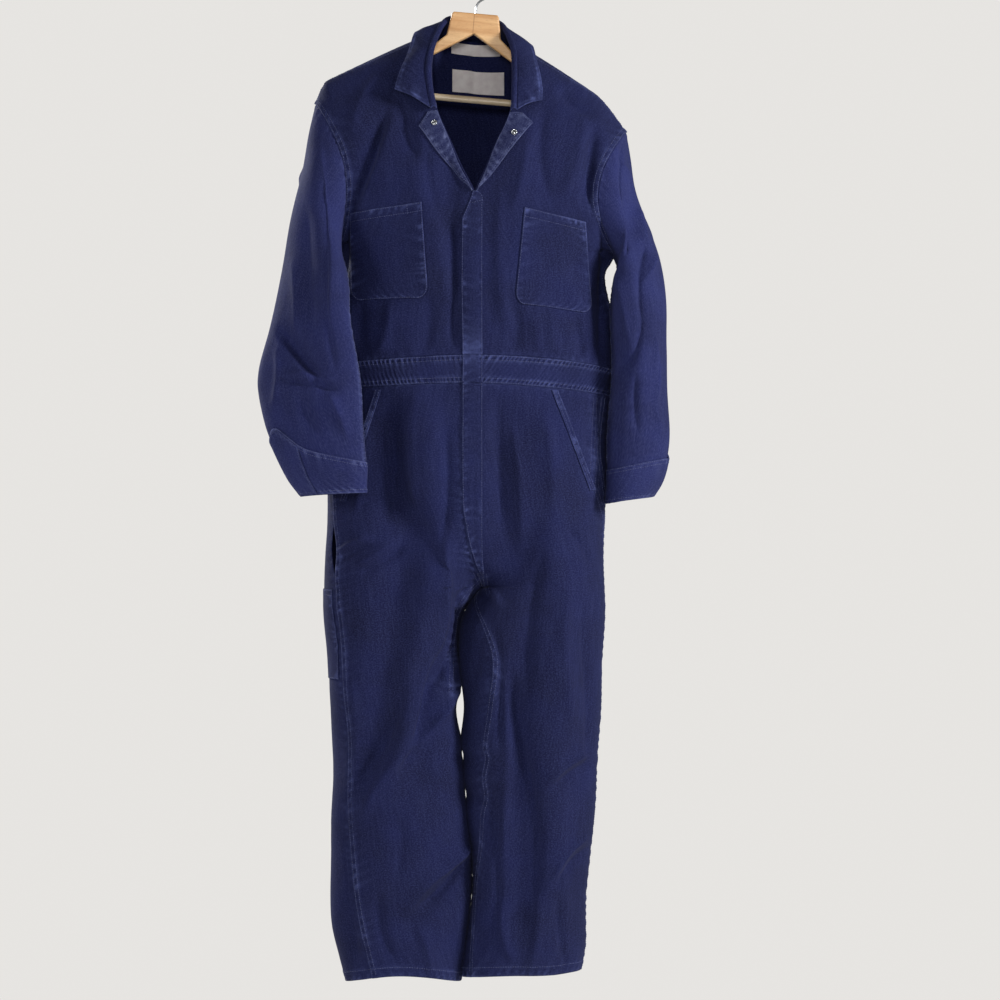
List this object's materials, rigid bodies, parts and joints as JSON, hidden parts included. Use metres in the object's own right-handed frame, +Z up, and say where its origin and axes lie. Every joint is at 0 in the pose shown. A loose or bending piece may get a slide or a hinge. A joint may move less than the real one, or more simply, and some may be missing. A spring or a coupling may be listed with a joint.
{
  "type": "boiler suit on a wooden hanger",
  "caption": "Long-sleeved boiler suit of heavy twill with an open collar, patch pockets and a waist seam, hanging on a wooden hanger by its hook.",
  "frame": {"origin": "the point inside the top of the hanger's hook that bears on a rail", "axes": "+Z up, -Y towards the garment's front, +X towards the wearer's left"},
  "size_m": [0.6754, 0.2359, 1.661],
  "materials": {
    "cloth": "matt twill",
    "facing": "matt twill",
    "label": "satin weave",
    "snap": "polished",
    "hanger_wood": "clear lacquer",
    "hanger_bar": "clear lacquer",
    "hanger_hook": "polished"
  },
  "bodies": {
    "root": {"back": "cloth", "back_waistband": "cloth", "collar": "cloth", "hanger_bar": "hanger_bar", "hanger_hook": "hanger_hook", "hanger_wood": "hanger_wood", "label_care": "label", "label_size": "label", "left_back_leg": "cloth", "left_chest_pocket": "cloth", "left_cuff": "cloth", "left_cuff_tab": "cloth", "left_front": "cloth", "left_front_leg": "cloth", "left_hip_pocket": "cloth", "left_lapel": "facing", "left_sleeve_back": "cloth", "left_sleeve_front": "cloth", "left_snap": "snap", "left_waistband": "cloth", "placket_bodice": "cloth", "placket_fly": "cloth", "placket_waist": "cloth", "right_back_leg": "cloth", "right_chest_pocket": "cloth", "right_cuff": "cloth", "right_cuff_tab": "cloth", "right_front": "cloth", "right_front_leg": "cloth", "right_hip_pocket": "cloth", "right_lapel": "facing", "right_sleeve_back": "cloth", "right_sleeve_front": "cloth", "right_snap": "snap", "right_waistband": "cloth", "rule_pocket": "cloth"}
  },
  "joints": []
}
